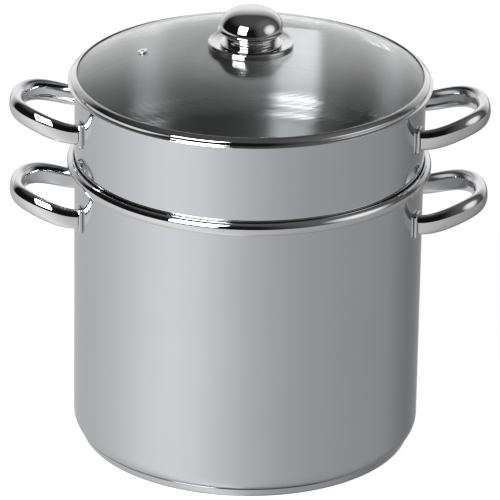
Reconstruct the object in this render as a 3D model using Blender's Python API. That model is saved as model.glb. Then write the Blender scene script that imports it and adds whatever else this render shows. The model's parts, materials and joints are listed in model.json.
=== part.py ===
"""Two-tier water bath canner: a stock pot, a lift-out jar basket and a glass lid.

The pot stands on z = 0 with its axis on Z. The handles point along +X and -X.
Dimensions below are in millimetres and are turned into metres where meshes are made.
"""

import math

import bmesh
import bpy
from mathutils import Matrix, Vector

MM = 0.001
GAP = 0.3                      # clearance between pieces that touch
ROUND = 48                     # segments of the large turned pieces
SMALL_ROUND = 24               # segments of the knob's turned pieces

WALL_RADIUS = 130.0            # outside of both vessels' walls
POT_SHEET = 1.0
BASKET_SHEET = 0.8
CAP_SHEET = 0.8

CORE_TOP = 7.3                 # top of the aluminium disc in the base
POT_FLOOR = CORE_TOP + GAP     # underside of the pot's floor
POT_RIM_TOP = 223.0
CURL_RADIUS = 3.3              # outside of the rolled rim
CURL_HALF_HEIGHT = 4.9         # the roll is taller than it is deep

BASKET_RADIUS = 121.0          # the part that hangs in the pot
BASKET_FLOOR = 34.0
BASKET_CORNER = 12.0
LEDGE_HEIGHT = 212.7           # where the basket widens to its collar
COLLAR_TOP = 281.55            # top of the collar's turned-out lip
COLLAR_LIP_RADIUS = 134.0

HOLE_RADIUS = 4.0
HOLE_COLUMNS = ROUND // 2
HOLE_ROWS = (75.0, 120.0, 165.0)
FLOOR_HOLE_RINGS = ((0.0, 1), (34.0, 6), (68.0, 12))

GLASS_RADIUS = 131.8
GLASS_EDGE_TOP = 285.7
GLASS_APEX = 309.2
GLASS_SHEET = 3.2
GLASS_FLATNESS = 3.0           # 2 is a parabola, more is flatter around the knob
GLASS_HOLE_RADIUS = 3.4
BAND_RADIUS = 135.3
SKIRT_BOTTOM = 276.9

VENT_AT = (-79.7, -1.4)
VENT_HOLE_RADIUS = 2.6

HANDLE_REACH = 178.6           # outermost point of a handle
HANDLE_SPREAD = 39.0           # half the distance between its two legs
HANDLE_RISE = 10.0
HANDLE_SQUARENESS = 2.4        # 2 is an ellipse in plan, more is squarer
HANDLE_STATIONS = 24
HANDLE_SIDES = 10
FOOT_SHEET = 2.0
FOOT_INSIDE = WALL_RADIUS + GAP
LEG_END = FOOT_INSIDE + FOOT_SHEET + GAP
LOWER_FOOT_HEIGHT = 185.0
UPPER_FOOT_HEIGHT = 252.4
FOOT_AZIMUTH = math.degrees(math.asin(HANDLE_SPREAD / FOOT_INSIDE))

GUARD_RADIUS = 31.7
GUARD_TOP = 313.7              # the plate's rim
GUARD_DISH = 311.4             # its flat middle, which carries the neck
GUARD_SHEET = 0.8
HEAD_BOTTOM = 321.9
HEAD_WIDEST = 324.6
HEAD_RADIUS = 23.5
HEAD_HEIGHT = 15.3             # from the widest point to the crown
HEAD_SQUARENESS = 2.4
HEAD_SHEET = 1.0
SCREW_RADIUS = 2.4


def clear_scene():
    for thing in list(bpy.data.objects):
        bpy.data.objects.remove(thing, do_unlink=True)


# ---------------------------------------------------------------- materials

FINISHES = {
    "brushed_steel": ((0.62, 0.62, 0.63, 1.0), 0.28, 1.0),
    "polished_steel": ((0.74, 0.74, 0.75, 1.0), 0.06, 1.0),
    "aluminium": ((0.70, 0.70, 0.71, 1.0), 0.40, 1.0),
    "glass": ((0.90, 0.93, 0.92, 1.0), 0.02, 0.0),
    "silicone": ((0.06, 0.06, 0.06, 1.0), 0.60, 0.0),
}


def finish_material(piece_name, finish):
    colour, roughness, metallic = FINISHES[finish]
    material = bpy.data.materials.new(piece_name + "_material")
    material.use_nodes = True
    shader = material.node_tree.nodes["Principled BSDF"]
    shader.inputs["Base Color"].default_value = colour
    shader.inputs["Roughness"].default_value = roughness
    shader.inputs["Metallic"].default_value = metallic
    if finish == "glass":
        shader.inputs["Transmission Weight"].default_value = 1.0
        shader.inputs["IOR"].default_value = 1.5
    return material


# ---------------------------------------------------------------- outlines

def arc(centre, radius, start, end, steps):
    """Points (radius, height) along an arc, with its angles in degrees."""
    angles = (math.radians(start + (end - start) * i / steps) for i in range(steps + 1))
    return [(centre[0] + radius * math.cos(a), centre[1] + radius * math.sin(a)) for a in angles]


def sheet_outline(path, thickness):
    """A closed outline of even thickness, lying on the left of a path of (radius, height) points."""
    points = [Vector(p) for p in path]
    directions = [(b - a).normalized() for a, b in zip(points, points[1:])]
    inner = []
    for i, point in enumerate(points):
        before = directions[max(i - 1, 0)]
        after = directions[min(i, len(directions) - 1)]
        middle = (before + after).normalized()
        normal = Vector((-middle.y, middle.x))
        inner.append(point + normal * thickness / middle.dot(before))
    return [tuple(p) for p in points + inner[::-1]]


# ---------------------------------------------------------------- mesh makers

def add_piece(name, bm, finish, parent):
    """Turns a bmesh in millimetres into a named object in metres."""
    bmesh.ops.remove_doubles(bm, verts=bm.verts, dist=1e-4)
    bmesh.ops.recalc_face_normals(bm, faces=bm.faces)
    bmesh.ops.scale(bm, vec=(MM, MM, MM), verts=bm.verts)
    mesh = bpy.data.meshes.new(name)
    bm.to_mesh(mesh)
    bm.free()
    mesh.shade_smooth()
    mesh.set_sharp_from_angle(angle=math.radians(35))
    mesh.materials.append(finish_material(name, finish))
    piece = bpy.data.objects.new(name, mesh)
    bpy.context.collection.objects.link(piece)
    piece.parent = parent
    return piece


def turned_piece(name, outline, finish, parent, segments=ROUND):
    """Spins a closed outline of (radius, height) points about Z."""
    bm = bmesh.new()
    ring = [bm.verts.new((r, 0.0, z)) for r, z in outline]
    edges = []
    for a, b in zip(ring, ring[1:] + ring[:1]):
        if a.co.x > 0 or b.co.x > 0:
            edges.append(bm.edges.new((a, b)))
    bmesh.ops.spin(bm, geom=ring + edges, cent=(0, 0, 0), axis=(0, 0, 1),
                   angle=2 * math.pi, steps=segments, use_merge=True)
    bmesh.ops.remove_doubles(bm, verts=bm.verts, dist=1e-4)
    centres = [v for v in bm.verts if math.hypot(v.co.x, v.co.y) < 1e-3]
    for centre in centres:
        bmesh.ops.dissolve_faces(bm, faces=list(centre.link_faces))
    return add_piece(name, bm, finish, parent)


def lofted_piece(name, rings, finish, parent):
    """Skins a row of rings that have the same number of points, and caps both ends."""
    bm = bmesh.new()
    rows = [[bm.verts.new(p) for p in ring] for ring in rings]
    count = len(rows[0])
    for near, far in zip(rows, rows[1:]):
        for i in range(count):
            j = (i + 1) % count
            bm.faces.new((near[i], near[j], far[j], far[i]))
    bm.faces.new(rows[0][::-1])
    bm.faces.new(rows[-1])
    return add_piece(name, bm, finish, parent)


def cutter(name, radius, depth, placements, sides):
    """Prisms that a Boolean takes away, one at each placement matrix (in millimetres)."""
    bm = bmesh.new()
    for placement in placements:
        bmesh.ops.create_cone(bm, cap_ends=True, segments=sides, radius1=radius, radius2=radius,
                              depth=depth, matrix=placement)
    bmesh.ops.scale(bm, vec=(MM, MM, MM), verts=bm.verts)
    mesh = bpy.data.meshes.new(name)
    bm.to_mesh(mesh)
    bm.free()
    tool = bpy.data.objects.new(name, mesh)
    bpy.context.collection.objects.link(tool)
    tool.hide_render = True
    tool.display_type = "WIRE"
    return tool


def cut_away(piece, tool):
    modifier = piece.modifiers.new(tool.name, "BOOLEAN")
    modifier.operation = "DIFFERENCE"
    modifier.object = tool


def assembly_empty(name):
    """A parent on the vessels' common axis, along which the pieces above lift off."""
    empty = bpy.data.objects.new(name, None)
    bpy.context.collection.objects.link(empty)
    return empty


# ---------------------------------------------------------------- stock pot

def make_pot_shell(parent):
    """Floor, rounded corner, straight wall and the rim rolled outwards."""
    curl_centre = (WALL_RADIUS - POT_SHEET + CURL_RADIUS, POT_RIM_TOP - CURL_HALF_HEIGHT)
    corner_radius = 14.7
    corner_centre = (WALL_RADIUS - corner_radius, 17.5)
    path = [(0.0, POT_FLOOR), (124.6, POT_FLOOR), (126.4, POT_FLOOR + 0.5)]
    path += arc(corner_centre, corner_radius, -35, 0, 3)
    curl = arc((curl_centre[0], 0.0), CURL_RADIUS - POT_SHEET, 180, -60, 8)
    taller = (CURL_HALF_HEIGHT - POT_SHEET) / (CURL_RADIUS - POT_SHEET)
    path += [(radius, curl_centre[1] + height * taller) for radius, height in curl]
    turned_piece("lower_pot_shell", sheet_outline(path, POT_SHEET), "brushed_steel", parent)


def make_base(parent):
    """The aluminium disc that spreads heat, and the steel cap pressed over it."""
    cap_path = [(0.0, 0.0), (121.4, 0.0), (122.9, 0.6), (123.9, 2.0), (126.2, 7.1)]
    turned_piece("base_cap", sheet_outline(cap_path, CAP_SHEET), "brushed_steel", parent)
    core_bottom = CAP_SHEET + GAP
    core = [(0.0, core_bottom), (121.2, core_bottom), (122.6, 2.4), (124.6, CORE_TOP), (0.0, CORE_TOP)]
    turned_piece("base_core_disc", core, "aluminium", parent)


# ---------------------------------------------------------------- jar basket

def make_basket(parent):
    """Perforated basket, ledge, and the plain collar that stands above the pot's rim."""
    lip_bend = 0.9
    lip_centre = (WALL_RADIUS + lip_bend, COLLAR_TOP - BASKET_SHEET - lip_bend)
    corner_centre = (BASKET_RADIUS - BASKET_CORNER, BASKET_FLOOR + BASKET_CORNER)
    path = [(0.0, BASKET_FLOOR)]
    path += arc(corner_centre, BASKET_CORNER, -90, 0, 3)
    path += [(BASKET_RADIUS, LEDGE_HEIGHT - 2.1), (122.2, LEDGE_HEIGHT)]
    path += [(126.4, LEDGE_HEIGHT + 1.7), (128.4, LEDGE_HEIGHT + 4.1), (128.5, 219.4)]
    path += [(128.8, 220.9), (129.5, 222.2), (WALL_RADIUS, 223.2)]
    path += arc(lip_centre, lip_bend, 180, 90, 2)
    path += [(COLLAR_LIP_RADIUS, COLLAR_TOP - BASKET_SHEET)]
    basket = turned_piece("basket_insert", sheet_outline(path, BASKET_SHEET), "brushed_steel", parent)
    cut_away(basket, wall_hole_cutter())
    cut_away(basket, floor_hole_cutter())


def wall_hole_cutter():
    """Rows of holes, each in the middle of a facet, with every other row moved one facet on."""
    facet = 2 * math.pi / ROUND
    outwards = Matrix.Rotation(math.pi / 2, 4, "Y")
    placements = []
    for row, height in enumerate(HOLE_ROWS):
        for column in range(HOLE_COLUMNS):
            turn = Matrix.Rotation((2 * column + row % 2 + 0.5) * facet, 4, "Z")
            placements.append(turn @ Matrix.Translation((BASKET_RADIUS, 0.0, height)) @ outwards)
    return cutter("wall_hole_cutter", HOLE_RADIUS, 8.0, placements, 6)


def floor_hole_cutter():
    placements = []
    for ring_radius, count in FLOOR_HOLE_RINGS:
        for i in range(count):
            turn = Matrix.Rotation(2 * math.pi * i / count, 4, "Z")
            placements.append(turn @ Matrix.Translation((ring_radius, 0.0, BASKET_FLOOR)))
    return cutter("floor_hole_cutter", HOLE_RADIUS, 8.0, placements, 6)


# ---------------------------------------------------------------- handles

def handle_station(turn):
    """Centre, travel direction and section size of a handle, for a turn from -90 to 90 degrees."""
    start = math.sqrt(LEG_END**2 - HANDLE_SPREAD**2)
    width = 6.5 + 4.5 * math.cos(turn)
    height = 15.5 + 1.5 * math.cos(turn)
    reach = HANDLE_REACH - 11.0 / 2 - start
    power = 2 / HANDLE_SQUARENESS
    along = math.cos(turn)**power
    centre = Vector((
        start + reach * along,
        math.copysign(HANDLE_SPREAD * abs(math.sin(turn))**power, turn),
        HANDLE_RISE * along**2 * (3 - 2 * along),
    ))
    return centre, width, height


def handle_rings():
    turns = [math.pi * (i / HANDLE_STATIONS - 0.5) for i in range(HANDLE_STATIONS + 1)]
    turns[0] = -math.pi / 2
    turns[-1] = math.pi / 2
    stations = [handle_station(t) for t in turns]
    rings = []
    for i, (centre, width, height) in enumerate(stations):
        before = stations[max(i - 1, 0)][0]
        after = stations[min(i + 1, HANDLE_STATIONS)][0]
        travel = (after - before).normalized()
        side = travel.cross(Vector((0, 0, 1))).normalized()
        up = side.cross(travel)
        ring = []
        for k in range(HANDLE_SIDES):
            a = 2 * math.pi * (k + 0.5) / HANDLE_SIDES
            ring.append(centre + side * (width / 2 * math.cos(a)) + up * (height / 2 * math.sin(a)))
        rings.append(ring)
    for ring in (rings[0], rings[-1]):
        for point in ring:
            point.x = math.sqrt(LEG_END**2 - point.y**2)
    return rings


def foot_rings():
    """A curved plate with rounded corners, lying on the wall around azimuth 0."""
    half_width, half_height, corner = 6.0, 10.0, 3.0
    columns = [(-1.0, half_height - corner), (-1.0 + corner / half_width / 2, half_height - 0.6),
               (-1.0 + corner / half_width, half_height)]
    columns += [(-s, h) for s, h in reversed(columns)]
    rings = []
    for share, reach in columns:
        angle = share * half_width / FOOT_INSIDE
        inside = Vector((FOOT_INSIDE * math.cos(angle), FOOT_INSIDE * math.sin(angle), 0))
        outside = inside * (FOOT_INSIDE + FOOT_SHEET) / FOOT_INSIDE
        down, up = Vector((0, 0, -reach)), Vector((0, 0, reach))
        rings.append([inside + down, outside + down, outside + up, inside + up])
    return rings


def make_handles(tier, foot_height, parent):
    for side, azimuth in (("right", 0.0), ("left", 180.0)):
        handle = lofted_piece(f"{tier}_handle_{side}", handle_rings(), "polished_steel", parent)
        handle.location.z = foot_height * MM
        handle.rotation_euler.z = math.radians(azimuth)
        front = -1 if side == "right" else 1
        for place, sign in (("front", front), ("rear", -front)):
            foot = lofted_piece(f"{tier}_{side}_foot_{place}", foot_rings(), "polished_steel", parent)
            foot.location.z = foot_height * MM
            foot.rotation_euler.z = math.radians(azimuth + sign * FOOT_AZIMUTH)


# ---------------------------------------------------------------- lid

def dome(radius, depth=0.0):
    """Height of the glass at a distance from the axis, at a depth below its upper surface."""
    return GLASS_APEX - depth - (GLASS_APEX - GLASS_EDGE_TOP) * (radius / GLASS_RADIUS)**GLASS_FLATNESS


def dome_slope(radius):
    """How steeply the glass falls at a distance from the axis."""
    return (GLASS_APEX - dome(radius)) * GLASS_FLATNESS / radius


def make_glass(parent):
    steps = 5
    radii = [GLASS_HOLE_RADIUS + (GLASS_RADIUS - 0.8 - GLASS_HOLE_RADIUS) * i / steps for i in range(steps + 1)]
    top = [(r, dome(r)) for r in radii]
    bottom = [(r, dome(r, GLASS_SHEET)) for r in reversed(radii)]
    edge = [(GLASS_RADIUS, dome(GLASS_RADIUS) - 0.6), (GLASS_RADIUS, dome(GLASS_RADIUS) - GLASS_SHEET + 0.5)]
    glass = turned_piece("lid_glass", top + edge + bottom, "glass", parent)
    hole = cutter("vent_hole_cutter", VENT_HOLE_RADIUS, 12.0, [vent_placement()], 12)
    cut_away(glass, hole)


def vent_placement():
    """Puts local z = 0 on the glass at the vent, with local Z along the glass's normal."""
    point = Vector((*VENT_AT, dome(math.hypot(*VENT_AT))))
    outwards = Vector((*VENT_AT, 0)).normalized()
    normal = outwards * dome_slope(math.hypot(*VENT_AT)) + Vector((0, 0, 1))
    return Matrix.Translation(point) @ Vector((0, 0, 1)).rotation_difference(normal).to_matrix().to_4x4()


def make_rim_band(parent):
    """The steel band around the glass: lip above, shelf below, outer flange and inner skirt."""
    lip_inner, channel, skirt_outer, skirt_inner = 128.6, GLASS_RADIUS + GAP, 128.6, 128.0
    flange_bottom = COLLAR_TOP + GAP
    shelf = flange_bottom + 0.6
    outline = [
        (lip_inner, dome(lip_inner) + GAP),
        (lip_inner - 0.1, dome(lip_inner) + 0.8),
        (lip_inner + 1.5, dome(lip_inner + 1.5) + 1.0),
        (channel - 0.6, GLASS_EDGE_TOP + 0.8),
        (channel + 0.6, GLASS_EDGE_TOP - 0.3),
        (channel + 0.9, shelf + 0.4),
        (BAND_RADIUS - 0.5, shelf + 0.3),
        (BAND_RADIUS, shelf - 0.2),
        (BAND_RADIUS - 0.3, flange_bottom),
        (skirt_outer + 0.9, flange_bottom),
        (skirt_outer, flange_bottom - 0.9),
        (skirt_outer, SKIRT_BOTTOM),
        (skirt_inner, SKIRT_BOTTOM),
        (skirt_inner, shelf),
        (channel, shelf),
        (channel, GLASS_EDGE_TOP - 0.3),
        (channel - 0.6, GLASS_EDGE_TOP + 0.2),
    ]
    turned_piece("lid_rim_band", outline, "polished_steel", parent)


def make_vent(parent):
    """An eyelet pressed through the glass, with a flange on each side and a steam hole."""
    bore, tube, flange, sheet = 1.1, 2.2, 4.0, 0.6
    upper, lower = GAP, -GLASS_SHEET - GAP
    outline = [(bore, upper + sheet), (flange - 0.3, upper + sheet), (flange, upper), (tube, upper),
               (tube, lower), (flange - 0.4, lower), (flange - 0.4, lower - sheet), (bore, lower - sheet)]
    vent = turned_piece("vent_eyelet", outline, "polished_steel", parent, 12)
    placement = vent_placement()
    vent.location = placement.translation * MM
    vent.rotation_euler = placement.to_euler()


# ---------------------------------------------------------------- knob

def head_profile(inset, steps):
    """Upper surface of the knob's head from its widest point to the crown, moved in by inset."""
    power = 2 / HEAD_SQUARENESS
    points = []
    for i in range(steps + 1):
        a = math.pi / 2 * i / steps
        across = (HEAD_RADIUS - inset) * math.cos(a)**power if i < steps else 0.0
        points.append((across, HEAD_WIDEST + (HEAD_HEIGHT - inset) * math.sin(a)**power))
    return points


def make_knob(parent):
    lip = [(HEAD_RADIUS - 1.2, HEAD_BOTTOM + 0.2), (HEAD_RADIUS, HEAD_BOTTOM),
           (HEAD_RADIUS + 1.3, HEAD_BOTTOM + 1.1), (HEAD_RADIUS + 0.6, HEAD_BOTTOM + 2.0)]
    head = lip + head_profile(0.0, 6) + head_profile(HEAD_SHEET, 5)[::-1]
    turned_piece("knob_head", head, "polished_steel", parent, SMALL_ROUND)

    bore, bore_top, neck_top = SCREW_RADIUS + GAP, 321.0, HEAD_BOTTOM + 1.0
    neck_bottom = GUARD_DISH + GAP
    neck = [
        (bore, neck_bottom), (22.6, neck_bottom), (22.9, neck_bottom + 0.7), (20.0, 313.4),
        (18.8, 314.4), (19.5, 315.4), (18.6, 316.2), (19.6, 317.2), (18.9, 318.0), (20.4, 319.4),
        (22.6, 321.0), (21.6, 321.6), (21.6, neck_top), (0.0, neck_top), (0.0, bore_top), (bore, bore_top),
    ]
    turned_piece("knob_neck", neck, "polished_steel", parent, SMALL_ROUND)

    rim_bottom = dome(GUARD_RADIUS) + GAP
    under_rim = GUARD_RADIUS - 0.9
    guard = [
        (bore, GUARD_DISH), (24.0, GUARD_DISH), (28.0, 312.5), (under_rim, GUARD_TOP),
        (GUARD_RADIUS, GUARD_TOP - 0.8), (GUARD_RADIUS, rim_bottom), (under_rim, rim_bottom),
        (under_rim, 312.7), (28.2, 311.7), (24.0, GUARD_DISH - GUARD_SHEET), (bore, GUARD_DISH - GUARD_SHEET),
    ]
    turned_piece("knob_guard_plate", guard, "polished_steel", parent, SMALL_ROUND)
    make_knob_fixings(bore, parent)


def make_knob_fixings(bore, parent):
    """Gasket above the glass, then gasket, washer and screw below it."""
    above = dome(0.0) + 0.2
    gasket_top = GUARD_DISH - GUARD_SHEET - 0.2
    flat_ring("knob_gasket", bore, 14.0, above, gasket_top - above, "silicone", parent)
    gasket_radius = 11.0
    height = dome(gasket_radius, GLASS_SHEET) - GAP - 1.0
    flat_ring("under_glass_gasket", bore, gasket_radius, height, 1.0, "silicone", parent)
    height -= GAP + 1.0
    flat_ring("screw_washer", bore, 9.0, height, 1.0, "polished_steel", parent)
    head_top = height - GAP
    slot_edge = 4.6
    screw = [(0.0, head_top - 2.6), (slot_edge - 0.6, head_top - 2.6), (slot_edge, head_top - 1.6),
             (slot_edge, head_top), (SCREW_RADIUS, head_top), (SCREW_RADIUS, 320.5), (0.0, 320.5)]
    turned_piece("knob_screw", screw, "polished_steel", parent, 12)


def flat_ring(name, inner, outer, bottom, thickness, finish, parent):
    outline = [(inner, bottom), (outer, bottom), (outer, bottom + thickness), (inner, bottom + thickness)]
    turned_piece(name, outline, finish, parent, SMALL_ROUND)


def main():
    clear_scene()
    pot = assembly_empty("pot_assembly")
    make_pot_shell(pot)
    make_base(pot)
    make_handles("lower", LOWER_FOOT_HEIGHT, pot)
    insert = assembly_empty("insert_assembly")
    make_basket(insert)
    make_handles("upper", UPPER_FOOT_HEIGHT, insert)
    lid = assembly_empty("lid_assembly")
    make_glass(lid)
    make_rim_band(lid)
    make_vent(lid)
    make_knob(lid)


main()
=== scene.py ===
"""Two-tier water bath canner: polished stock pot, lift-out jar basket and glass lid.

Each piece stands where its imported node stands, with finer rounds, edges and holes.
Sizes are in millimetres and become metres where a mesh is made. The front is -Y.
"""

import json
import math

import bmesh
import bpy
from mathutils import Matrix, Vector


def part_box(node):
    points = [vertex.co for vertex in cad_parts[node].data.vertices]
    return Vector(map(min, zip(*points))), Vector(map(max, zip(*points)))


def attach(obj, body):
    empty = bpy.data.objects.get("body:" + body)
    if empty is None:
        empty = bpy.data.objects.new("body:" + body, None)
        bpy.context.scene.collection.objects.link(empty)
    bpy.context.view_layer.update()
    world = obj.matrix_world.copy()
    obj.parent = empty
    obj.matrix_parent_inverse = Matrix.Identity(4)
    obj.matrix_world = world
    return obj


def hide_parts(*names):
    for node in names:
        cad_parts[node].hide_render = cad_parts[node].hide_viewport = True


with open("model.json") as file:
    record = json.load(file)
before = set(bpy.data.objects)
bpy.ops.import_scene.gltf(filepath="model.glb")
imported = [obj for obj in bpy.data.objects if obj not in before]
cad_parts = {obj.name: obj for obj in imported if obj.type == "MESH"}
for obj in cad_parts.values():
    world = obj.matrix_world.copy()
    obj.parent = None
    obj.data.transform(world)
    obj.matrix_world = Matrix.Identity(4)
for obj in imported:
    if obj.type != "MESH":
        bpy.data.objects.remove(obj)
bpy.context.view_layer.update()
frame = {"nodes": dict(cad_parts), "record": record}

MM = 0.001
GAP = 0.3                      # clearance between pieces that touch
ROUND = 256                    # segments of the vessels and the lid
SMALL_ROUND = 128              # segments of the knob
CORNER_STEPS = 5               # points on a small rounded corner


def height_of_top(node):
    """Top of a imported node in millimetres."""
    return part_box(node)[1][2] / MM


def height_of_bottom(node):
    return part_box(node)[0][2] / MM


WALL_RADIUS = 130.0
POT_SHEET = 1.0
BASKET_SHEET = 0.8
CAP_SHEET = 0.8
POT_FLOOR = height_of_bottom("lower_pot_shell")
CURL_RADIUS = 3.3
CURL_HALF_HEIGHT = 4.9         # the rolled rim is taller than it is deep
CURL_CENTRE = (WALL_RADIUS - POT_SHEET + CURL_RADIUS, height_of_top("lower_pot_shell") - CURL_HALF_HEIGHT)

BASKET_RADIUS = 121.0
BASKET_FLOOR = height_of_bottom("basket_insert")
BASKET_CORNER = 12.0
LEDGE_HEIGHT = 212.7
WALL_START = 223.2             # where the collar's straight wall begins
COLLAR_TOP = height_of_top("basket_insert")
COLLAR_LIP_RADIUS = 134.0

HOLE_PITCH = 12.0
HOLE_RADIUS = 2.6
HOLE_SIDES = 16
HOLE_COLUMNS = ROUND // 4
HOLE_ROWS = 12
HOLES_START = BASKET_FLOOR + BASKET_CORNER + 4.0
HOLES_END = HOLES_START + HOLE_ROWS * HOLE_PITCH
FLOOR_HOLES_WITHIN = 100.0

GLASS_RADIUS = 131.8
GLASS_APEX = height_of_top("lid_glass")
GLASS_EDGE_TOP = 285.7
GLASS_SHEET = 3.2
GLASS_FLATNESS = 3.0           # 2 is a parabola, more is flatter around the knob
GLASS_HOLE_RADIUS = 3.4
BAND_RADIUS = 135.3
SKIRT_BOTTOM = height_of_bottom("lid_rim_band")
VENT_AT = (-79.7, -1.4)
VENT_HOLE_RADIUS = 2.6

HANDLE_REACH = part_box("lower_handle_right")[1][0] / MM
HANDLE_SPREAD = 39.0           # half the distance between a handle's two legs
HANDLE_RISE = 10.0
HANDLE_SQUARENESS = 2.4        # 2 is an ellipse in plan, more is squarer
BAR_WIDTH = 11.0               # a handle's section midway between its legs
BAR_HEIGHT = 17.0
LEG_WIDTH = 6.5                # its section where a leg meets its foot
LEG_HEIGHT = 15.5
HANDLE_STATIONS = 96
HANDLE_SIDES = 40
FOOT_INSIDE = WALL_RADIUS + GAP
FOOT_SHEET = 2.0
FOOT_HALF_WIDTH = 6.0
FOOT_HALF_HEIGHT = 10.0
FOOT_CORNER = 3.0
LEG_END = FOOT_INSIDE + FOOT_SHEET + GAP
FOOT_AZIMUTH = math.asin(HANDLE_SPREAD / FOOT_INSIDE)

GUARD_RADIUS = 31.7
GUARD_TOP = height_of_top("knob_guard_plate")
GUARD_DISH = 311.4             # the plate's flat middle, which carries the neck
GUARD_SHEET = 0.8
NECK_BOTTOM = height_of_bottom("knob_neck")
HEAD_BOTTOM = height_of_bottom("knob_head")
HEAD_TOP = height_of_top("knob_head")
HEAD_WIDEST = HEAD_BOTTOM + 2.7
HEAD_RADIUS = 23.5
HEAD_SQUARENESS = 2.4
HEAD_SHEET = 1.0
KNOB_BORE = 2.7                # clears the knob's screw


# ---------------------------------------------------------------- camera

def make_camera():
    """A long lens in front of the pot and above it, with its turns in radians."""
    pitch, pan, roll = 0.40532, 0.00052, 0.01687
    position = (0.0, -3.38, 1.596)
    data = bpy.data.cameras.new("studio_camera")
    data.sensor_width = 36.0
    data.lens = 353.1
    camera = bpy.data.objects.new("studio_camera", data)
    turn = Matrix.Rotation(-pan, 4, "Z") @ Matrix.Rotation(math.pi / 2 - pitch, 4, "X")
    camera.matrix_world = Matrix.Translation(position) @ turn @ Matrix.Rotation(roll, 4, "Z")
    bpy.context.collection.objects.link(camera)
    bpy.context.scene.camera = camera


# ---------------------------------------------------------------- outlines

def arc(centre, radius, start, end, steps):
    """Points (radius, height) along an arc, with its angles in degrees."""
    angles = (math.radians(start + (end - start) * i / steps) for i in range(steps + 1))
    return [(centre[0] + radius * math.cos(a), centre[1] + radius * math.sin(a)) for a in angles]


def offset_path(path, distance):
    """The same path moved to its left by a distance."""
    points = [Vector(p) for p in path]
    directions = [(b - a).normalized() for a, b in zip(points, points[1:])]
    moved = []
    for i, point in enumerate(points):
        before = directions[max(i - 1, 0)]
        after = directions[min(i, len(directions) - 1)]
        middle = (before + after).normalized()
        normal = Vector((-middle.y, middle.x))
        moved.append(tuple(point + normal * distance / middle.dot(before)))
    return moved


def sheet_outline(path, thickness):
    """A closed outline of even thickness, lying on the left of a path."""
    return list(path) + offset_path(path, thickness)[::-1]


def softened(points, reach, closed=True):
    """Rounds every corner of an outline, starting at most reach before it."""
    corners = [Vector(p) for p in points]
    count = len(corners)
    rounded = []
    for i, corner in enumerate(corners):
        on_axis = corner.x < 1e-6
        at_end = not closed and i in (0, count - 1)
        if on_axis or at_end:
            rounded.append(tuple(corner))
            continue
        before = corners[i - 1] - corner
        after = corners[(i + 1) % count] - corner
        start = corner + before.normalized() * min(reach, before.length * 0.45)
        end = corner + after.normalized() * min(reach, after.length * 0.45)
        for k in range(CORNER_STEPS + 1):
            s = k / CORNER_STEPS
            rounded.append(tuple(start * (1 - s)**2 + corner * 2 * s * (1 - s) + end * s**2))
    return rounded


def supported(points, closed=True):
    """Adds points near the ends of long straight runs, so that their shading stays flat."""
    margin, longest = 0.35, 2.0
    result = []
    count = len(points)
    for i, point in enumerate(points):
        result.append(point)
        if i == count - 1 and not closed:
            break
        start, end = Vector(point), Vector(points[(i + 1) % count])
        run = end - start
        if run.length > longest:
            step = run.normalized() * margin
            result += [tuple(start + step), tuple(end - step)]
    return result


# ---------------------------------------------------------------- meshes

def spin(bm, points, segments, closed=True):
    """Adds the surface that a row of (radius, height) points sweeps about Z."""
    angles = [2 * math.pi * i / segments for i in range(segments)]
    rings = []
    for radius, height in supported(points, closed):
        if radius < 1e-6:
            rings.append([bm.verts.new((0.0, 0.0, height))])
            continue
        rings.append([bm.verts.new((radius * math.cos(a), radius * math.sin(a), height)) for a in angles])
    following = rings[1:] + rings[:1] if closed else rings[1:]
    for near, far in zip(rings, following):
        if len(near) == 1 and len(far) == 1:
            continue
        for i in range(segments):
            j = (i + 1) % segments
            corners = (near[i % len(near)], near[j % len(near)], far[j % len(far)], far[i % len(far)])
            bm.faces.new(list(dict.fromkeys(corners)))


def loft(bm, rings):
    """Skins a row of rings that have the same number of points, and caps both ends."""
    rows = [[bm.verts.new(p) for p in ring] for ring in rings]
    count = len(rows[0])
    for near, far in zip(rows, rows[1:]):
        for i in range(count):
            j = (i + 1) % count
            bm.faces.new((near[i], near[j], far[j], far[i]))
    bm.faces.new(rows[0][::-1])
    bm.faces.new(rows[-1])


def add_piece(name, bm, material, node, placement=None):
    """Makes the bmesh, in millimetres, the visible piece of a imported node."""
    if placement is not None:
        bm.transform(placement)
    bmesh.ops.remove_doubles(bm, verts=bm.verts, dist=1e-4)
    bmesh.ops.recalc_face_normals(bm, faces=bm.faces)
    bmesh.ops.scale(bm, vec=(MM, MM, MM), verts=bm.verts)
    mesh = bpy.data.meshes.new(name)
    bm.to_mesh(mesh)
    bm.free()
    piece = bpy.data.objects.new(name, mesh)
    bpy.context.collection.objects.link(piece)
    shade(piece)
    mesh.materials.append(material)
    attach(piece, body_of(node))
    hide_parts(node)
    return piece


def shade(piece):
    piece.data.shade_smooth()
    piece.data.set_sharp_from_angle(angle=math.radians(32))


def body_of(node):
    bodies = frame["record"]["behaviour"]["bodies"]
    return next(body for body, nodes in bodies.items() if node in nodes)


def turned_piece(name, outline, material, node, segments=ROUND, placement=None):
    bm = bmesh.new()
    spin(bm, outline, segments)
    return add_piece(name, bm, material, node, placement)


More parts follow.
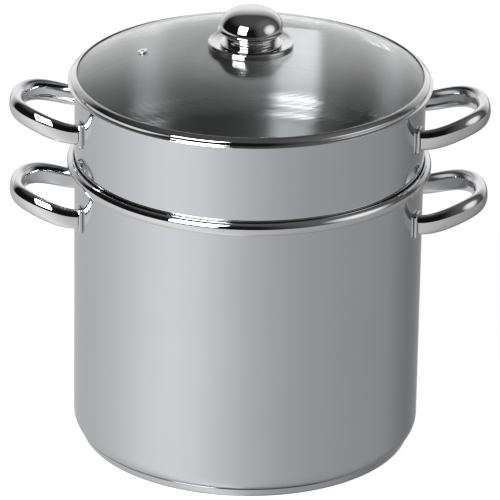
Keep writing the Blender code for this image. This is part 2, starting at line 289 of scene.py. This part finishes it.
def drill(piece, placements, radius, depth, sides):
    """Cuts round holes through a piece, one at each placement matrix (in millimetres)."""
    bm = bmesh.new()
    for placement in placements:
        bmesh.ops.create_cone(bm, cap_ends=True, segments=sides, radius1=radius, radius2=radius,
                              depth=depth, matrix=placement)
    bmesh.ops.scale(bm, vec=(MM, MM, MM), verts=bm.verts)
    tool_mesh = bpy.data.meshes.new("drill")
    bm.to_mesh(tool_mesh)
    bm.free()
    tool = bpy.data.objects.new("drill", tool_mesh)
    bpy.context.collection.objects.link(tool)
    modifier = piece.modifiers.new("drill", "BOOLEAN")
    modifier.operation = "DIFFERENCE"
    modifier.object = tool
    drilled = bpy.data.meshes.new_from_object(piece.evaluated_get(bpy.context.evaluated_depsgraph_get()))
    piece.modifiers.remove(modifier)
    piece.data = drilled
    bpy.data.objects.remove(tool)
    shade(piece)


# ---------------------------------------------------------------- materials

def new_material(name):
    material = bpy.data.materials.new(name)
    material.use_nodes = True
    return material, material.node_tree, material.node_tree.nodes["Principled BSDF"]


def object_coordinates(tree, scale):
    """The piece's own coordinates in metres, stretched by a scale for each axis."""
    place = tree.nodes.new("ShaderNodeTexCoord")
    mapping = tree.nodes.new("ShaderNodeMapping")
    mapping.inputs["Scale"].default_value = scale
    tree.links.new(place.outputs["Object"], mapping.inputs["Vector"])
    return mapping.outputs["Vector"]


def noise(tree, vector, scale, detail):
    texture = tree.nodes.new("ShaderNodeTexNoise")
    texture.inputs["Scale"].default_value = scale
    texture.inputs["Detail"].default_value = detail
    tree.links.new(vector, texture.inputs["Vector"])
    return texture.outputs["Fac"]


def remap(tree, value, low, high, source_low=0.3, source_high=0.7):
    node = tree.nodes.new("ShaderNodeMapRange")
    node.inputs["From Min"].default_value = source_low
    node.inputs["From Max"].default_value = source_high
    node.inputs["To Min"].default_value = low
    node.inputs["To Max"].default_value = high
    tree.links.new(value, node.inputs["Value"])
    return node.outputs["Result"]


def bump(tree, shader, value, distance):
    """Raises the surface by a value, where 1 is distance metres high."""
    node = tree.nodes.new("ShaderNodeBump")
    node.inputs["Distance"].default_value = distance
    tree.links.new(value, node.inputs["Height"])
    tree.links.new(node.outputs["Normal"], shader.inputs["Normal"])


def tinted(tree, shader, value, dark, light):
    """Runs the base colour between two tones."""
    ramp = tree.nodes.new("ShaderNodeValToRGB")
    ramp.color_ramp.elements[0].position = 0.3
    ramp.color_ramp.elements[0].color = (*dark, 1.0)
    ramp.color_ramp.elements[1].position = 0.7
    ramp.color_ramp.elements[1].color = (*light, 1.0)
    tree.links.new(value, ramp.inputs["Fac"])
    tree.links.new(ramp.outputs["Color"], shader.inputs["Base Color"])


def round_tangent(tree, shader, strength):
    """Turned metal: fine lines run around Z, so highlights spread along Z."""
    tangent = tree.nodes.new("ShaderNodeTangent")
    tangent.direction_type = "RADIAL"
    tangent.axis = "Z"
    tree.links.new(tangent.outputs["Tangent"], shader.inputs["Tangent"])
    shader.inputs["Anisotropic"].default_value = strength
    shader.inputs["Anisotropic Rotation"].default_value = 0.25


def polished_steel(name):
    """Mirror polish with faint haze and hairline marks."""
    base, roughness = 0.74, 0.03
    material, tree, shader = new_material(name)
    shader.inputs["Metallic"].default_value = 1.0
    haze = noise(tree, object_coordinates(tree, (1.0, 1.0, 1.0)), 38.0, 4.0)
    tinted(tree, shader, haze, (base * 0.97,) * 3, (base, base, base * 1.01))
    hairlines = noise(tree, object_coordinates(tree, (1.0, 1.0, 9.0)), 420.0, 2.0)
    tree.links.new(remap(tree, haze, roughness * 0.7, roughness * 1.3), shader.inputs["Roughness"])
    bump(tree, shader, hairlines, 0.0000012)
    return material


def bright_wall_steel(name):
    """The vessels' outsides: polished sheet with faint lines running around the wall."""
    material, tree, shader = new_material(name)
    shader.inputs["Metallic"].default_value = 1.0
    clouds = noise(tree, object_coordinates(tree, (1.0, 1.0, 1.0)), 14.0, 3.0)
    tinted(tree, shader, clouds, (0.630, 0.640, 0.664), (0.648, 0.658, 0.684))
    lines = noise(tree, object_coordinates(tree, (3.0, 3.0, 600.0)), 1.0, 4.0)
    tree.links.new(remap(tree, lines, 0.075, 0.115), shader.inputs["Roughness"])
    bump(tree, shader, lines, 0.000002)
    return material


def brushed_steel(name):
    """The insides and the perforated wall: fine brushed lines around the axis."""
    material, tree, shader = new_material(name)
    shader.inputs["Metallic"].default_value = 1.0
    lines = noise(tree, object_coordinates(tree, (6.0, 6.0, 1100.0)), 1.0, 5.0)
    tinted(tree, shader, lines, (0.60, 0.60, 0.61), (0.68, 0.68, 0.69))
    tree.links.new(remap(tree, lines, 0.33, 0.42), shader.inputs["Roughness"])
    bump(tree, shader, lines, 0.00001)
    round_tangent(tree, shader, 1.0)
    return material


def clear_glass(name):
    material, tree, shader = new_material(name)
    shader.inputs["Transmission Weight"].default_value = 1.0
    shader.inputs["IOR"].default_value = 1.5
    smudges = noise(tree, object_coordinates(tree, (1.0, 1.0, 1.0)), 22.0, 5.0)
    tinted(tree, shader, smudges, (0.93, 0.95, 0.945), (0.95, 0.965, 0.96))
    tree.links.new(remap(tree, smudges, 0.0, 0.02, 0.45, 0.75), shader.inputs["Roughness"])
    return material


def moulded_silicone(name):
    material, tree, shader = new_material(name)
    grain = noise(tree, object_coordinates(tree, (1.0, 1.0, 1.0)), 900.0, 3.0)
    tinted(tree, shader, grain, (0.035, 0.035, 0.036), (0.05, 0.05, 0.052))
    tree.links.new(remap(tree, grain, 0.5, 0.7), shader.inputs["Roughness"])
    bump(tree, shader, grain, 0.00004)
    return material


def rolled_aluminium(name):
    material, tree, shader = new_material(name)
    shader.inputs["Metallic"].default_value = 1.0
    grain = noise(tree, object_coordinates(tree, (30.0, 600.0, 30.0)), 1.0, 4.0)
    tinted(tree, shader, grain, (0.66, 0.67, 0.68), (0.74, 0.75, 0.76))
    tree.links.new(remap(tree, grain, 0.32, 0.46), shader.inputs["Roughness"])
    bump(tree, shader, grain, 0.00001)
    return material


# ---------------------------------------------------------------- stock pot

def make_pot_shell(wall, brushed, polished):
    """The drawn pot: a flat floor, a rounded corner, a straight wall and a rim rolled outwards."""
    floor_radius = 124.6
    corner_radius, corner_height = 14.7, 17.5
    corner_centre = (WALL_RADIUS - corner_radius, corner_height)
    path = [(0.0, POT_FLOOR), (floor_radius, POT_FLOOR), (floor_radius + 1.8, POT_FLOOR + 0.5)]
    path += arc(corner_centre, corner_radius, -35, 0, 12)
    curl = arc((CURL_CENTRE[0], 0.0), CURL_RADIUS - POT_SHEET, 180, -60, 40)
    taller = (CURL_HALF_HEIGHT - POT_SHEET) / (CURL_RADIUS - POT_SHEET)
    path += [(radius, CURL_CENTRE[1] + height * taller) for radius, height in curl]
    shell = turned_piece("pot_shell", sheet_outline(path, POT_SHEET), wall, "lower_pot_shell")
    finish_pot(shell.data, brushed, polished)


def finish_pot(mesh, brushed, polished):
    """The pot is brushed inside, and its rolled rim has a mirror polish."""
    mesh.materials.append(brushed)
    mesh.materials.append(polished)
    for face in mesh.polygons:
        centre = face.center / MM
        beyond_wall = math.hypot(centre.x, centre.y) > WALL_RADIUS + 0.05
        faces_inwards = centre.x * face.normal.x + centre.y * face.normal.y < 0
        faces_up = face.normal.z > 0.5
        if beyond_wall:
            face.material_index = 2
        elif centre.z < CURL_CENTRE[1] and (faces_inwards or faces_up):
            face.material_index = 1


def make_base(material):
    """The steel cap pressed over the disc that spreads heat."""
    path = softened([(0.0, 0.0), (121.4, 0.0), (122.9, 0.6), (123.9, 2.0), (126.2, 7.1)], 1.2, closed=False)
    turned_piece("pot_base_cap", sheet_outline(path, CAP_SHEET), material, "base_cap")


# ---------------------------------------------------------------- jar basket

def make_basket(brushed, bright):
    """Perforated basket, the ledge it hangs by, and the plain collar above the pot's rim."""
    corner_centre = (BASKET_RADIUS - BASKET_CORNER, BASKET_FLOOR + BASKET_CORNER)
    bottom = [(0.0, BASKET_FLOOR)] + arc(corner_centre, BASKET_CORNER, -90, 0, 12)
    bottom += [(BASKET_RADIUS, HOLES_START)]
    lip_bend = 0.9
    lip_centre = (WALL_RADIUS + lip_bend, COLLAR_TOP - BASKET_SHEET - lip_bend)
    ledge = [(BASKET_RADIUS, HOLES_END), (BASKET_RADIUS, LEDGE_HEIGHT - 2.1), (122.2, LEDGE_HEIGHT)]
    ledge += [(126.4, LEDGE_HEIGHT + 1.7), (128.4, LEDGE_HEIGHT + 4.1), (128.5, 219.4)]
    ledge += [(128.8, 220.9), (129.5, 222.2), (WALL_RADIUS, WALL_START), (WALL_RADIUS, lip_centre[1])]
    top = softened(ledge, 1.6, closed=False) + arc(lip_centre, lip_bend, 180, 90, 6)[1:]
    top += [(COLLAR_LIP_RADIUS, COLLAR_TOP - BASKET_SHEET)]
    bm = bmesh.new()
    spin(bm, bottom, ROUND, closed=False)
    spin(bm, offset_path(bottom, BASKET_SHEET), ROUND, closed=False)
    spin(bm, sheet_outline(top, BASKET_SHEET), ROUND, closed=False)
    for row in range(HOLE_ROWS):
        for column in range(HOLE_COLUMNS):
            add_wall_hole(bm, row, column)
    basket = add_piece("jar_basket", bm, brushed, "basket_insert")
    drill(basket, floor_hole_placements(), HOLE_RADIUS, 4.0, HOLE_SIDES)
    polish_collar(basket.data, bright)


def polish_collar(mesh, bright):
    """The collar's outside has the pot's bright finish, from the ledge up."""
    mesh.materials.append(bright)
    for face in mesh.polygons:
        faces_outwards = face.center.x * face.normal.x + face.center.y * face.normal.y > 0
        if faces_outwards and face.center.z > (LEDGE_HEIGHT + 4.0) * MM:
            face.material_index = 1


def add_wall_hole(bm, row, column):
    """One square cell of the perforated wall with its hole, as thick as the sheet."""
    step = 2 * math.pi / HOLE_COLUMNS
    middle_angle = (column + 0.5 * (row % 2)) * step
    middle_height = HOLES_START + (row + 0.5) * HOLE_PITCH
    quarters = (-1.0, -0.5, 0.0, 0.5)
    border = [(q, -1.0) for q in quarters] + [(1.0, q) for q in quarters]
    border += [(-x, -y) for x, y in border]
    rings = []
    for radius in (BASKET_RADIUS, BASKET_RADIUS - BASKET_SHEET):
        outer, hole = [], []
        for k, (across, up) in enumerate(border):
            outer.append(wall_point(bm, radius, middle_angle + across * step / 2,
                                    middle_height + up * HOLE_PITCH / 2))
            turn = math.radians(225) + 2 * math.pi * k / HOLE_SIDES
            hole.append(wall_point(bm, radius, middle_angle + HOLE_RADIUS * math.cos(turn) / BASKET_RADIUS,
                                   middle_height + HOLE_RADIUS * math.sin(turn)))
        rings += [outer, hole]
    outside, outside_hole, inside, inside_hole = rings
    for near, far in ((outside, outside_hole), (outside_hole, inside_hole), (inside_hole, inside)):
        for k in range(HOLE_SIDES):
            after = (k + 1) % HOLE_SIDES
            bm.faces.new((near[k], near[after], far[after], far[k]))


def wall_point(bm, radius, angle, height):
    return bm.verts.new((radius * math.cos(angle), radius * math.sin(angle), height))


def floor_hole_placements():
    """A triangular grid of holes over the basket's floor."""
    placements = []
    row_step = HOLE_PITCH * math.sqrt(0.75)
    reach = int(FLOOR_HOLES_WITHIN / row_step)
    for row in range(-reach, reach + 1):
        for column in range(-reach - 1, reach + 2):
            x = (column + 0.5 * (row % 2)) * HOLE_PITCH
            y = row * row_step
            if math.hypot(x, y) <= FLOOR_HOLES_WITHIN:
                placements.append(Matrix.Translation((x, y, BASKET_FLOOR)))
    return placements


# ---------------------------------------------------------------- handles

def handle_station(turn):
    """Centre, width and height of a handle's section, for a turn in radians from -pi/2 to pi/2."""
    start = math.sqrt(LEG_END**2 - HANDLE_SPREAD**2)
    width = LEG_WIDTH + (BAR_WIDTH - LEG_WIDTH) * math.cos(turn)
    height = LEG_HEIGHT + (BAR_HEIGHT - LEG_HEIGHT) * math.cos(turn)
    reach = HANDLE_REACH - BAR_WIDTH / 2 - start
    power = 2 / HANDLE_SQUARENESS
    along = max(math.cos(turn), 0.0)**power
    centre = Vector((
        start + reach * along,
        math.copysign(HANDLE_SPREAD * abs(math.sin(turn))**power, turn),
        HANDLE_RISE * along**2 * (3 - 2 * along),
    ))
    return centre, width, height


def handle_rings():
    """Oval sections along a handle, with both ends trimmed to the round face of the feet."""
    stations = [handle_station(math.pi * (i / HANDLE_STATIONS - 0.5)) for i in range(HANDLE_STATIONS + 1)]
    rings = []
    for i, (centre, width, height) in enumerate(stations):
        before = stations[max(i - 1, 0)][0]
        after = stations[min(i + 1, HANDLE_STATIONS)][0]
        travel = (after - before).normalized()
        side = travel.cross(Vector((0, 0, 1))).normalized()
        up = side.cross(travel)
        ring = []
        for k in range(HANDLE_SIDES):
            a = 2 * math.pi * k / HANDLE_SIDES
            ring.append(centre + side * (width / 2 * math.cos(a)) + up * (height / 2 * math.sin(a)))
        rings.append(ring)
    for ring in (rings[0], rings[-1]):
        for point in ring:
            point.x = math.sqrt(LEG_END**2 - point.y**2)
    return rings


def foot_rings():
    """A curved plate with rounded corners and softened edges, lying on the wall around azimuth 0."""
    edge, steps = 0.5, 8
    corner_shares = [FOOT_CORNER * (1 - math.cos(math.pi / 2 * k / steps)) for k in range(steps + 1)]
    distances = [-FOOT_HALF_WIDTH + s for s in corner_shares]
    distances += [-2.0, -1.0, 0.0, 1.0, 2.0] + [-d for d in reversed(distances)]
    rings = []
    for distance in distances:
        angle = distance / FOOT_INSIDE
        into_corner = max(abs(distance) - (FOOT_HALF_WIDTH - FOOT_CORNER), 0.0)
        reach = FOOT_HALF_HEIGHT - FOOT_CORNER + math.sqrt(max(FOOT_CORNER**2 - into_corner**2, 0.0))
        from_side = FOOT_HALF_WIDTH - abs(distance)
        drop = edge - math.sqrt(edge**2 - (edge - from_side)**2) if from_side < edge else 0.0
        top = FOOT_INSIDE + FOOT_SHEET - drop
        section = softened([(FOOT_INSIDE, -reach), (top, -reach), (top, reach), (FOOT_INSIDE, reach)], edge)
        rings.append([Vector((r * math.cos(angle), r * math.sin(angle), z)) for r, z in section])
    return rings


def make_handles(tier, material):
    """Both handles of the lower or upper tier, with a foot at each end."""
    for side, azimuth in (("right", 0.0), ("left", math.pi)):
        node = f"{tier}_handle_{side}"
        feet = [f"{tier}_{side}_foot_{place}" for place in ("front", "rear")]
        low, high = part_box(feet[0])
        foot_height = (low[2] + high[2]) / 2 / MM
        turn = Matrix.Translation((0, 0, foot_height)) @ Matrix.Rotation(azimuth, 4, "Z")
        bm = bmesh.new()
        loft(bm, handle_rings())
        add_piece(node + "_loop", bm, material, node, turn)
        front = -1 if side == "right" else 1
        for foot, sign in zip(feet, (front, -front)):
            bm = bmesh.new()
            loft(bm, foot_rings())
            foot_turn = turn @ Matrix.Rotation(sign * FOOT_AZIMUTH, 4, "Z")
            add_piece(foot + "_plate", bm, material, foot, foot_turn)


# ---------------------------------------------------------------- lid

def dome(radius, depth=0.0):
    """Height of the glass at a distance from the axis, at a depth below its upper surface."""
    return GLASS_APEX - depth - (GLASS_APEX - GLASS_EDGE_TOP) * (radius / GLASS_RADIUS)**GLASS_FLATNESS


def dome_normal(x, y):
    """Which way the glass faces at a point."""
    radius = math.hypot(x, y)
    slope = (GLASS_APEX - dome(radius)) * GLASS_FLATNESS / radius
    return Vector((x / radius * slope, y / radius * slope, 1.0)).normalized()


def make_glass(material):
    """The domed glass with a rounded edge, a hole for the knob's screw and one for the vent."""
    steps = 40
    outer = GLASS_RADIUS - 0.8
    radii = [GLASS_HOLE_RADIUS + (outer - GLASS_HOLE_RADIUS) * i / steps for i in range(steps + 1)]
    outline = [(r, dome(r)) for r in radii]
    edge = [(GLASS_RADIUS, dome(GLASS_RADIUS) - 0.6), (GLASS_RADIUS, dome(GLASS_RADIUS) - GLASS_SHEET + 0.5)]
    outline += softened([outline[-1], *edge, (outer, dome(outer, GLASS_SHEET))], 0.4, closed=False)[1:-1]
    outline += [(r, dome(r, GLASS_SHEET)) for r in reversed(radii)]
    glass = turned_piece("lid_dome_glass", outline, material, "lid_glass")
    drill(glass, [vent_placement()], VENT_HOLE_RADIUS, 12.0, 48)
    set_dome_normals(glass.data)


def set_dome_normals(mesh):
    """Gives both faces of the glass the exact normals of the dome."""
    tolerance = 0.002
    normals = [Vector((0.0, 0.0, 0.0)) for _ in mesh.loops]
    for face in mesh.polygons:
        corners = [mesh.vertices[v].co / MM for v in face.vertices]
        for depth, sign in ((0.0, 1.0), (GLASS_SHEET, -1.0)):
            if all(abs(c.z - dome(math.hypot(c.x, c.y), depth)) < tolerance for c in corners):
                for loop, corner in zip(face.loop_indices, corners):
                    normals[loop] = dome_normal(corner.x, corner.y) * sign
    mesh.normals_split_custom_set(normals)


def vent_placement():
    """Puts local z = 0 on the glass at the vent, with local Z along the glass's normal."""
    point = Vector((*VENT_AT, dome(math.hypot(*VENT_AT))))
    tilt = Vector((0, 0, 1)).rotation_difference(dome_normal(*VENT_AT))
    return Matrix.Translation(point) @ tilt.to_matrix().to_4x4()


def make_rim_band(material):
    """The steel band around the glass: lip above, shelf below, outer flange and inner skirt."""
    lip_inner, channel, skirt_outer, skirt_inner = 128.6, GLASS_RADIUS + GAP, 128.6, 128.0
    glass_edge = dome(GLASS_RADIUS)
    flange_bottom = COLLAR_TOP + GAP
    shelf = flange_bottom + 0.6
    outline = [
        (lip_inner, dome(lip_inner) + GAP),
        (lip_inner - 0.1, dome(lip_inner) + 0.9),
        (lip_inner + 1.5, dome(lip_inner + 1.5) + 1.0),
        (channel - 0.6, glass_edge + 0.8),
        (channel + 0.6, glass_edge - 0.3),
        (channel + 0.9, shelf + 0.4),
        (BAND_RADIUS - 0.5, shelf + 0.3),
        (BAND_RADIUS, shelf - 0.2),
        (BAND_RADIUS - 0.3, flange_bottom),
        (skirt_outer + 0.9, flange_bottom),
        (skirt_outer, flange_bottom - 0.9),
        (skirt_outer, SKIRT_BOTTOM),
        (skirt_inner, SKIRT_BOTTOM),
        (skirt_inner, shelf),
        (channel, shelf),
        (channel, glass_edge - 0.3),
        (channel - 0.6, glass_edge + 0.2),
    ]
    turned_piece("lid_band", softened(outline, 0.5), material, "lid_rim_band")


def make_vent(material):
    """An eyelet pressed through the glass, with a flange on each side and a steam hole."""
    bore, tube, flange, sheet = 1.1, 2.2, 4.0, 0.6
    upper, lower = GAP, -GLASS_SHEET - GAP
    outline = [(bore, upper + sheet), (flange - 0.3, upper + sheet), (flange, upper), (tube, upper),
               (tube, lower), (flange - 0.4, lower), (flange - 0.4, lower - sheet), (bore, lower - sheet)]
    turned_piece("lid_vent", softened(outline, 0.25), material, "vent_eyelet", 48, vent_placement())


# ---------------------------------------------------------------- knob

def head_profile(inset):
    """Upper surface of the knob's head, leaning in from its lip up to the crown, moved in by inset."""
    steps = 32
    power = 2 / HEAD_SQUARENESS
    height = HEAD_TOP - HEAD_WIDEST - inset
    start = math.radians(7)
    lowest = math.sin(start)**power
    points = []
    for i in range(steps):
        a = start + (math.pi / 2 - start) * i / steps
        across = (HEAD_RADIUS - inset) * (math.cos(a) / math.cos(start))**power
        points.append((across, HEAD_WIDEST + height * (math.sin(a)**power - lowest) / (1 - lowest)))
    return points + [(0.0, HEAD_WIDEST + height)]


def make_knob(material):
    """The hollow head with its lip, the grooved neck, and the dished plate on the glass."""
    lip_inside = HEAD_RADIUS - 1.2
    lip = [
        (lip_inside, HEAD_WIDEST), (lip_inside, HEAD_BOTTOM + 0.2), (HEAD_RADIUS, HEAD_BOTTOM),
        (HEAD_RADIUS + 1.3, HEAD_BOTTOM + 1.1), (HEAD_RADIUS + 0.6, HEAD_BOTTOM + 2.0),
        (HEAD_RADIUS, HEAD_WIDEST),
    ]
    head = softened(lip, 0.35, closed=False)[1:] + head_profile(0.0)[1:] + head_profile(HEAD_SHEET)[::-1]
    turned_piece("knob_cap", head, material, "knob_head", SMALL_ROUND)

    # From the plate up: a wide foot, rings with grooves between them, and a flare under the head.
    bore_top, neck_top = 321.0, HEAD_BOTTOM + 1.0
    steps = [(22.6, NECK_BOTTOM), (22.9, NECK_BOTTOM + 0.7), (20.0, 313.2), (18.5, 313.9), (19.8, 314.9),
             (18.3, 315.8), (19.9, 316.8), (18.6, 317.7), (20.8, 319.2), (20.6, 319.8), (22.6, 321.0),
             (21.6, 321.6), (21.6, neck_top)]
    neck = [(KNOB_BORE, NECK_BOTTOM), *steps, (0.0, neck_top), (0.0, bore_top), (KNOB_BORE, bore_top)]
    turned_piece("knob_stepped_neck", softened(neck, 0.3), material, "knob_neck", SMALL_ROUND)

    rim_bottom = height_of_bottom("knob_guard_plate")
    under_rim = GUARD_RADIUS - 0.9
    guard = [
        (KNOB_BORE, GUARD_DISH), (24.0, GUARD_DISH), (28.0, 312.5), (under_rim, GUARD_TOP),
        (GUARD_RADIUS, GUARD_TOP - 0.8), (GUARD_RADIUS, rim_bottom), (under_rim, rim_bottom),
        (under_rim, 312.7), (28.2, 311.7),
        (24.0, GUARD_DISH - GUARD_SHEET), (KNOB_BORE, GUARD_DISH - GUARD_SHEET),
    ]
    turned_piece("knob_dish", softened(guard, 0.4), material, "knob_guard_plate", SMALL_ROUND)


def make_fixing(name, node, material):
    """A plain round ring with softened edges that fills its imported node's box."""
    low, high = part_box(node)
    bottom, top, outer = low[2] / MM, high[2] / MM, high[0] / MM
    outline = [(KNOB_BORE, bottom), (outer, bottom), (outer, top), (KNOB_BORE, top)]
    turned_piece(name, softened(outline, 0.15), material, node, SMALL_ROUND)


# ---------------------------------------------------------------- studio

def make_floor():
    """A wide pale floor with a glow of its own, so that it stays white right up to the pot."""
    bm = bmesh.new()
    bmesh.ops.create_grid(bm, x_segments=8, y_segments=8, size=12.0)
    mesh = bpy.data.meshes.new("floor")
    bm.to_mesh(mesh)
    bm.free()
    floor = bpy.data.objects.new("floor", mesh)
    bpy.context.collection.objects.link(floor)
    material, tree, shader = new_material("pale_floor")
    grain = noise(tree, object_coordinates(tree, (1.0, 1.0, 1.0)), 6.0, 2.0)
    tinted(tree, shader, grain, (0.29, 0.29, 0.29), (0.31, 0.31, 0.31))
    shader.inputs["Roughness"].default_value = 0.9
    shader.inputs["Specular IOR Level"].default_value = 0.1
    shader.inputs["Emission Color"].default_value = (1.0, 1.0, 1.0, 1.0)
    shader.inputs["Emission Strength"].default_value = 0.93
    mesh.materials.append(material)
    floor.visible_glossy = False


class Formula:
    """Builds small formulas out of Math nodes."""

    def __init__(self, tree):
        self.tree = tree

    def math(self, operation, *values):
        node = self.tree.nodes.new("ShaderNodeMath")
        node.operation = operation
        for socket, value in zip(node.inputs, values):
            if isinstance(value, (int, float)):
                socket.default_value = value
            else:
                self.tree.links.new(value, socket)
        return node.outputs["Value"]

    def step(self, value, low, high):
        """0 below low, 1 above high, smooth between them."""
        node = self.tree.nodes.new("ShaderNodeMapRange")
        node.interpolation_type = "SMOOTHSTEP"
        node.inputs["From Min"].default_value = low
        node.inputs["From Max"].default_value = high
        self.tree.links.new(value, node.inputs["Value"])
        return node.outputs["Result"]

    def mix(self, share, a, b):
        """a where share is 0 and b where it is 1."""
        rest = self.math("SUBTRACT", 1.0, share)
        return self.math("ADD", self.math("MULTIPLY", rest, a), self.math("MULTIPLY", share, b))


# How bright the table is in each direction: azimuth in degrees from the front, + to the right, and light.
TABLE_LIGHT = (
    (-180, 0.55), (-147, 0.56), (-120, 0.63), (-94, 0.74), (-72, 0.88), (-54, 0.98), (-36, 0.93), (-20, 0.80),
    (0, 0.63), (28, 0.48), (60, 0.42), (106, 0.36), (120, 0.29), (140, 0.20), (165, 0.30), (180, 0.55),
)


def table_light(tree, calc, x, y):
    """Brightness of the table in a direction, brightest at the left front."""
    azimuth = calc.math("ARCTAN2", x, calc.math("MULTIPLY", y, -1.0))
    share = calc.math("MULTIPLY_ADD", azimuth, 1 / (2 * math.pi), 0.5)
    ramp = tree.nodes.new("ShaderNodeValToRGB")
    ramp.color_ramp.interpolation = "B_SPLINE"
    elements = ramp.color_ramp.elements
    while len(elements) < len(TABLE_LIGHT):
        elements.new(0.5)
    for element, (degrees, light) in zip(elements, TABLE_LIGHT):
        element.position = degrees / 360 + 0.5
        element.color = (light, light, light * 1.01, 1.0)
    tree.links.new(share, ramp.inputs["Fac"])
    return ramp.outputs["Color"]


def make_world():
    """A white table and back sweep in a dim room, as the steel sees them."""
    world = bpy.data.worlds.new("studio")
    world.use_nodes = True
    bpy.context.scene.world = world
    tree = world.node_tree
    calc = Formula(tree)
    background = tree.nodes["Background"]
    direction = tree.nodes.new("ShaderNodeTexCoord")
    split = tree.nodes.new("ShaderNodeSeparateXYZ")
    tree.links.new(direction.outputs["Generated"], split.inputs["Vector"])
    x, y, z = split.outputs["X"], split.outputs["Y"], split.outputs["Z"]

    above_table = calc.step(z, -0.115, -0.09)
    # The white sweep behind the pot brightens in two stages towards straight behind.
    paper = calc.math("ADD", calc.math("MULTIPLY", calc.step(y, 0.48, 0.76), 0.50),
                      calc.math("MULTIPLY", calc.step(y, 0.72, 0.95), 0.50))
    ceiling = calc.math("MULTIPLY", calc.step(z, 0.45, 0.95), 0.07)
    # A lamp at the right shines as a spot with a wide, faint haze around it.
    lamp = tree.nodes.new("ShaderNodeVectorMath")
    lamp.operation = "DOT_PRODUCT"
    lamp.inputs[1].default_value = direction_at(74, 16)
    tree.links.new(direction.outputs["Generated"], lamp.inputs[0])
    spot = calc.math("MULTIPLY", calc.step(lamp.outputs["Value"], 0.88, 1.0), 0.95)
    haze = calc.math("MULTIPLY", calc.step(lamp.outputs["Value"], 0.40, 0.98), 0.12)
    room = calc.math("ADD", calc.math("ADD", spot, haze), calc.math("ADD", ceiling, 0.008))
    light = calc.mix(above_table, table_light(tree, calc, x, y), calc.math("ADD", room, paper))

    # Seen directly, the backdrop is plain white.
    rays = tree.nodes.new("ShaderNodeLightPath")
    seen = calc.mix(rays.outputs["Is Camera Ray"], light, 1.0)
    tree.links.new(seen, background.inputs["Color"])


def direction_at(azimuth, elevation):
    """Unit vector, with azimuth in degrees from the front, + to the right."""
    a, e = math.radians(azimuth), math.radians(elevation)
    return Vector((math.sin(a) * math.cos(e), -math.cos(a) * math.cos(e), math.sin(e)))


def add_softbox(name, azimuth, elevation, distance, width, height, radiance):
    """A rectangular light that faces the pot."""
    data = bpy.data.lights.new(name, "AREA")
    data.shape = "RECTANGLE"
    data.size = width
    data.size_y = height
    data.energy = radiance * math.pi * width * height
    box = bpy.data.objects.new(name, data)
    target = Vector((0.0, 0.0, 0.25))
    towards = direction_at(azimuth, elevation)
    box.location = target + towards * distance
    box.rotation_euler = towards.to_track_quat("Z", "Y").to_euler()
    bpy.context.collection.objects.link(box)


def main():
    make_camera()
    bpy.context.scene.view_settings.view_transform = "Standard"
    make_floor()
    make_world()
    add_softbox("key_softbox", -33, 27, 1.5, 0.8, 1.2, 10.5)

    wall = bright_wall_steel("bright_wall_steel")
    brushed = brushed_steel("brushed_steel")
    polished = polished_steel("polished_steel")
    rubber = moulded_silicone("silicone")
    make_pot_shell(wall, brushed, polished)
    make_base(wall)
    make_handles("lower", polished)
    make_basket(brushed, wall)
    make_handles("upper", polished)
    make_glass(clear_glass("lid_glass"))
    make_rim_band(polished)
    make_vent(polished)
    make_knob(polished)
    make_fixing("knob_upper_gasket", "knob_gasket", rubber)
    make_fixing("knob_lower_gasket", "under_glass_gasket", rubber)
    make_fixing("knob_washer", "screw_washer", polished)
    core = frame["nodes"]["base_core_disc"]
    core.data.materials[0] = rolled_aluminium("rolled_aluminium")
    screw = frame["nodes"]["knob_screw"]
    screw.data.materials[0] = polished


main()
